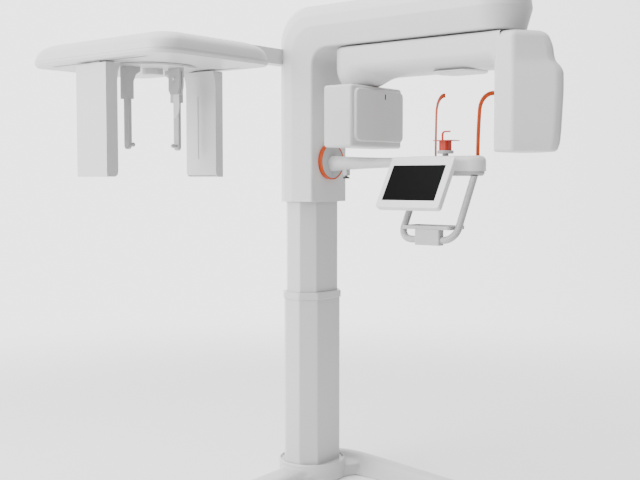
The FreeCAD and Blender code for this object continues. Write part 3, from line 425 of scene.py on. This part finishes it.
def gantry_shell():
    bm = bmesh.new()
    beam_mesh(bm)
    tube_head_mesh(bm)
    lens_disc_mesh(bm)
    finish_piece("gantry_shell", bm, "gantry_cover", ["gantry_cover"], angle=35)


# ---------------------------------------------------------------- cast foot
_, CASTING_X, _, CASTING_Y, _, RIM_Z = mm("base_casting")
COL_HX, COL_HY = mm("column_lower")[1], mm("column_lower")[3]
COL_W = 76.0                               # half width of the column's front face
COLLAR_R, DRUM_H = 145.5, 70.0
SIDE_HW, SIDE_H, SIDE_Y = (75, 60), (66, 42), 5.0      # at the root and at the tip
SIDE_TIP = CASTING_X - SIDE_HW[1]
FRONT_HW, FRONT_H, FRONT_X = 37, 45, -158              # at the tip
FRONT_TIP = CASTING_Y - FRONT_HW
POCKET_Z, POCKET_GROW, RIM_GROW = 13.8, 0.4, 0.35
AROUND = circle(144)
# the front leg's path: x, y, half width, height
FRONT_PATH = [(-30, -80, 40, 76), (-80, -66, 44, 79), (-122, -34, 47, 82), (-148, 10, 48, 84),
              (-162, 60, 48, 84), (-167, 110, 47, 83), (-167, 170, 46, 80), (-165, 260, 45, 75),
              (-162, 400, 43, 66), (FRONT_X, 560, 40, 56),
              (FRONT_X, FRONT_TIP, FRONT_HW, FRONT_H)]
WEB = [(-60, -118), (-110, -92), (-150, -20), (-165, 60), (-165, 150), (-140, 168), (-118, 160),
       (-92, 144), (-62, 132), (-20, 122), (0, 60)]
GUSSET = [(60, 115), (112, 100), (165, 82), (235, 70), (235, -60), (160, -72), (115, -95),
          (60, -115)]
# the rim's outer profile: inset from the collar, depth under the rim's top
RIM_ROWS = [(0.5, 6.5), (1.8, 4.4), (3.2, 1.5), (4.0, 0.3), (4.8, 0.0), (5.6, 0.2), (6.2, 1.0),
            (6.4, 8.0)]


def oct_radius(a, grow):
    """Distance from the axis to the octagonal column's face in direction a."""
    hx, hy, w = COL_HX + grow, COL_HY + grow, COL_W + grow * 0.414
    cos, sin = abs(math.cos(a)), abs(math.sin(a))
    return min(hx / max(cos, 1e-9), hy / max(sin, 1e-9), (hy + w) / (cos + sin))


def oct_ring(z, grow, limit=math.inf):
    """The column's outline at a height, grown, kept within a radius."""
    radii = [min(oct_radius(a, grow), limit) for a in AROUND]
    return [(r * math.cos(a), r * math.sin(a), z) for r, a in zip(radii, AROUND)]


def crowned(hw, h):
    """Half round section: offsets to the left of the path, and heights."""
    out = [(hw, 0.0), (hw, h * 0.3)]
    for k in range(1, 16):
        c, s = math.cos(math.pi * k / 16), math.sin(math.pi * k / 16)
        out.append((math.copysign(abs(c) ** 0.55, c) * hw, h * (0.3 + 0.7 * s ** 0.6)))
    return out + [(-hw, h * 0.3), (-hw, 0.0)]


def ridged(hw, h):
    """Steep outer side, flat crest, long hollow slope on the inner side."""
    pts = [(hw, 0), (hw, 0.5), (hw, 0.86), (hw - 4, 0.96), (hw - 11, 1.0), (hw - 24, 1.0),
           (hw - 36, 0.97), (hw - 44, 0.88), (-hw * 0.25, 0.60), (-hw * 0.6, 0.34),
           (-hw * 0.95, 0.15), (-hw - 8, 0.06), (-hw - 9, 0.0)]
    return [(u, z * h) for u, z in pts]


def leg_mesh(bm, path, section):
    """Closed bar along a plan path; rows of (x, y, half width, height)."""
    last = len(path) - 1
    rings = []
    for i, (x, y, hw, h) in enumerate(path):
        a, b = path[max(i - 1, 0)], path[min(i + 1, last)]
        dx, dy = b[0] - a[0], b[1] - a[1]
        length = math.hypot(dx, dy)
        nx, ny = -dy / length, dx / length
        rings.append([(x + nx * u, y + ny * u, z) for u, z in section(hw, h)])
    grid(bm, rings, closed=True, cap0=True, cap1=True)


def round_tip(path, ux, uy):
    """The path with rows added that round off its end, which points along ux, uy."""
    x, y, hw, h = path[-1]
    return path + [(x + ux * hw * math.sin(a), y + uy * hw * math.sin(a),
                    max(hw * math.cos(a), 1.5), h * (0.8 + 0.2 * math.cos(a)))
                   for a in quarter(8, first=1)]


def side_leg_path():
    (hw0, hw1), (h0, h1) = SIDE_HW, SIDE_H
    return [(x, SIDE_Y, hw0 - (hw0 - hw1) * x / SIDE_TIP, h0 - (h0 - h1) * x / SIDE_TIP)
            for x in (0, 60, 120, 180, 260, 360, 480, 600, SIDE_TIP)]


def drum_mesh(bm):
    r = COLLAR_R - 1
    grid(bm, [[(r * math.cos(a), r * math.sin(a), z) for a in circle(96)] for z in (0, DRUM_H)],
         closed=True, cap0=True, cap1=True)


def web_mesh(bm):
    """Web between the collar and the front leg, narrower towards its top."""
    grid(bm, [[(x * f, y * f, z) for x, y in WEB] for f, z in ((1.04, 0), (1.0, 10), (0.93, 50))],
         closed=True, cap0=True, cap1=True)


def gusset_mesh(bm):
    grid(bm, [[(x, y, z) for x, y in GUSSET] for z in (0, 36)],
         closed=True, cap0=True, cap1=True)


def cut_pocket(foot):
    """Applies the foot's modifiers and cuts out the space that the columns go into."""
    bm = bmesh.new()
    grid(bm, [oct_ring(z, POCKET_GROW) for z in (POCKET_Z, RIM_Z + 47)],
         closed=True, cap0=True, cap1=True)
    bmesh.ops.recalc_face_normals(bm, faces=bm.faces)
    pocket = new_object("pocket", bm)
    cut = foot.modifiers.new("cut", "BOOLEAN")
    cut.operation = "DIFFERENCE"
    cut.object = pocket
    cut.solver = "EXACT"
    bpy.context.view_layer.update()
    solved = foot.evaluated_get(bpy.context.evaluated_depsgraph_get())
    mesh = bpy.data.meshes.new_from_object(solved)
    foot.modifiers.clear()
    foot.data = mesh
    mesh.shade_smooth()
    mesh.set_sharp_from_angle(angle=math.radians(50))
    bpy.data.objects.remove(pocket)


def foot_casting():
    """Collar, legs, web and gusset, melted together as in a casting."""
    bm = bmesh.new()
    leg_mesh(bm, round_tip(side_leg_path(), 1, 0), crowned)
    leg_mesh(bm, round_tip(FRONT_PATH, 0, 1), ridged)
    drum_mesh(bm)
    web_mesh(bm)
    gusset_mesh(bm)
    foot = finish_piece("foot_casting", bm, "base_casting", ["base_casting"],
                        angle=180, weighted=False, merge=1e-7)
    remesh = foot.modifiers.new("remesh", "REMESH")
    remesh.mode = "VOXEL"
    remesh.voxel_size = 0.005
    remesh.use_smooth_shade = True
    smooth = foot.modifiers.new("smooth", "SMOOTH")
    smooth.factor = 0.5
    smooth.iterations = 22
    cut_pocket(foot)


def foot_rim():
    """Rounded ring on the collar, open in the middle to the column's outline."""
    bm = bmesh.new()
    profile = [(COLLAR_R, 40), (COLLAR_R, 74)]
    profile += [(COLLAR_R - inset, RIM_Z - down) for inset, down in RIM_ROWS]
    rings = [[(r * math.cos(a), r * math.sin(a), z) for a in AROUND] for r, z in profile]
    rings += [oct_ring(RIM_Z - down, RIM_GROW, limit=COLLAR_R - 6.5) for down in (8, 16)]
    grid(bm, rings, closed=True)
    finish_piece("foot_rim", bm, "base_casting", ["base_casting"], angle=40, merge=1e-7)


# ---------------------------------------------------------------- cephalometric crown
SX0, SX1, SY0, SY1, SEAM_Z, CROWN_Z = mm("ceph_cover_top")
SLAB_R = 80.0
CROWN_IN, CROWN_STEPS = 150, 40
# inset from the slab's edge, height in seventieths of the crown
CROWN_ROWS = [(0, 0), (2, 9), (5, 19), (11, 32), (24, 45), (46, 56), (75, 63), (110, 68),
              (CROWN_IN, 70)]


def slab_ring(inset, z):
    pts = [(SX0 + inset, SY0 + inset), (SX1 - inset, SY0 + inset),
           (SX1 - inset, SY1 - inset), (SX0 + inset, SY1 - inset)]
    return [(x, y, z) for x, y in rounded(pts, [SLAB_R - inset * 0.3] * 4, seg=14, closed=True)]


def ceph_crown():
    """Domed top of the cephalometric slab, with a short lip over the seam."""
    rows = [(2.0, SEAM_Z - 3), (1.0, SEAM_Z + 0.4), (0.0, SEAM_Z + 1.2)]
    for k in range(1, CROWN_STEPS + 1):
        inset = CROWN_IN * (k / CROWN_STEPS) ** 1.6
        rise = curve_through(CROWN_ROWS, inset) / CROWN_ROWS[-1][1]
        rows.append((inset, SEAM_Z + rise * (CROWN_Z - SEAM_Z)))
    bm = bmesh.new()
    grid(bm, [slab_ring(inset, z) for inset, z in rows], closed=True, cap1=True)
    finish_piece("ceph_crown", bm, "ceph_cover_top", ["ceph_cover_top"])


# ---------------------------------------------------------------- CAD nodes' edges
EDGE_R, EDGE_ANGLE = 1.2, 30


def polish(obj):
    """Small rounded edges and even shading on a CAD node."""
    mesh = obj.data
    if "custom_normal" in mesh.attributes:
        mesh.attributes.remove(mesh.attributes["custom_normal"])
    mesh.shade_smooth()
    weld = obj.modifiers.new("weld", "WELD")
    weld.merge_threshold = 1e-5
    bevel = obj.modifiers.new("bevel", "BEVEL")
    bevel.width = EDGE_R / 1000
    bevel.segments = 3
    bevel.limit_method = "ANGLE"
    bevel.angle_limit = math.radians(EDGE_ANGLE)
    bevel.harden_normals = False
    bevel.use_clamp_overlap = True
    normals = obj.modifiers.new("weighted", "WEIGHTED_NORMAL")
    normals.weight = 100
    normals.keep_sharp = False


column_arm_cover()
gantry_shell()
foot_casting()
foot_rim()
ceph_crown()
for node in nodes.values():
    if not node.hide_render:
        polish(node)

# ---------------------------------------------------------------- stage
FLOOR_SIZE, FADE = 12, (1.2, 5.5)          # metres; the fade starts and ends at these radii
WORLD_Y, WORLD_STRENGTH = (-0.7, 0.6), (0.42, 3.2)


def stage_material(color):
    """Pale floor that thins out into the studio's white far from the machine."""
    mat = bpy.data.materials.new("stage")
    mat.use_nodes = True
    tree = mat.node_tree
    tree.nodes.clear()
    out = tree.nodes.new("ShaderNodeOutputMaterial")
    mix = tree.nodes.new("ShaderNodeMixShader")
    clear = tree.nodes.new("ShaderNodeBsdfTransparent")
    pale = tree.nodes.new("ShaderNodeBsdfDiffuse")
    pale.inputs["Color"].default_value = (*color, 1)
    coords = tree.nodes.new("ShaderNodeTexCoord")
    radius = tree.nodes.new("ShaderNodeVectorMath")
    radius.operation = "LENGTH"
    fade = tree.nodes.new("ShaderNodeMapRange")
    fade.interpolation_type = "SMOOTHERSTEP"
    fade.inputs["From Min"].default_value, fade.inputs["From Max"].default_value = FADE
    tree.links.new(coords.outputs["Object"], radius.inputs[0])
    tree.links.new(radius.outputs["Value"], fade.inputs["Value"])
    tree.links.new(fade.outputs["Result"], mix.inputs[0])
    tree.links.new(pale.outputs[0], mix.inputs[1])
    tree.links.new(clear.outputs[0], mix.inputs[2])
    tree.links.new(mix.outputs[0], out.inputs["Surface"])
    return mat


def add_floor():
    bpy.ops.mesh.primitive_plane_add(size=FLOOR_SIZE)
    floor = bpy.context.object
    floor.name = "floor"
    floor.data.materials.append(stage_material((0.9, 0.9, 0.9)))


def add_world():
    """White studio, bright behind the machine and dimmer in front."""
    world = bpy.data.worlds.new("studio")
    world.use_nodes = True
    tree = world.node_tree
    coords = tree.nodes.new("ShaderNodeTexCoord")
    axes = tree.nodes.new("ShaderNodeSeparateXYZ")
    ramp = tree.nodes.new("ShaderNodeMapRange")
    ramp.inputs["From Min"].default_value, ramp.inputs["From Max"].default_value = WORLD_Y
    ramp.inputs["To Min"].default_value, ramp.inputs["To Max"].default_value = WORLD_STRENGTH
    background = tree.nodes["Background"]
    background.inputs["Color"].default_value = (1, 1, 1, 1)
    tree.links.new(coords.outputs["Generated"], axes.inputs[0])
    tree.links.new(axes.outputs["Y"], ramp.inputs["Value"])
    tree.links.new(ramp.outputs["Result"], background.inputs["Strength"])
    bpy.context.scene.world = world


def area_light(name, place, target, size, watts):
    light = bpy.data.lights.new(name, "AREA")
    light.shape = "SQUARE"
    light.size = size
    light.energy = watts
    obj = bpy.data.objects.new(name, light)
    bpy.context.scene.collection.objects.link(obj)
    obj.location = place
    aim = Vector(target) - Vector(place)
    obj.rotation_euler = aim.to_track_quat("-Z", "Y").to_euler()


add_floor()
add_world()
area_light("key", (-5.0, 1.8, 2.6), (0, -0.2, 1.2), 3.0, 240)
area_light("top", (-1.0, -0.2, 4.6), (-0.4, -0.4, 1.5), 3.0, 130)
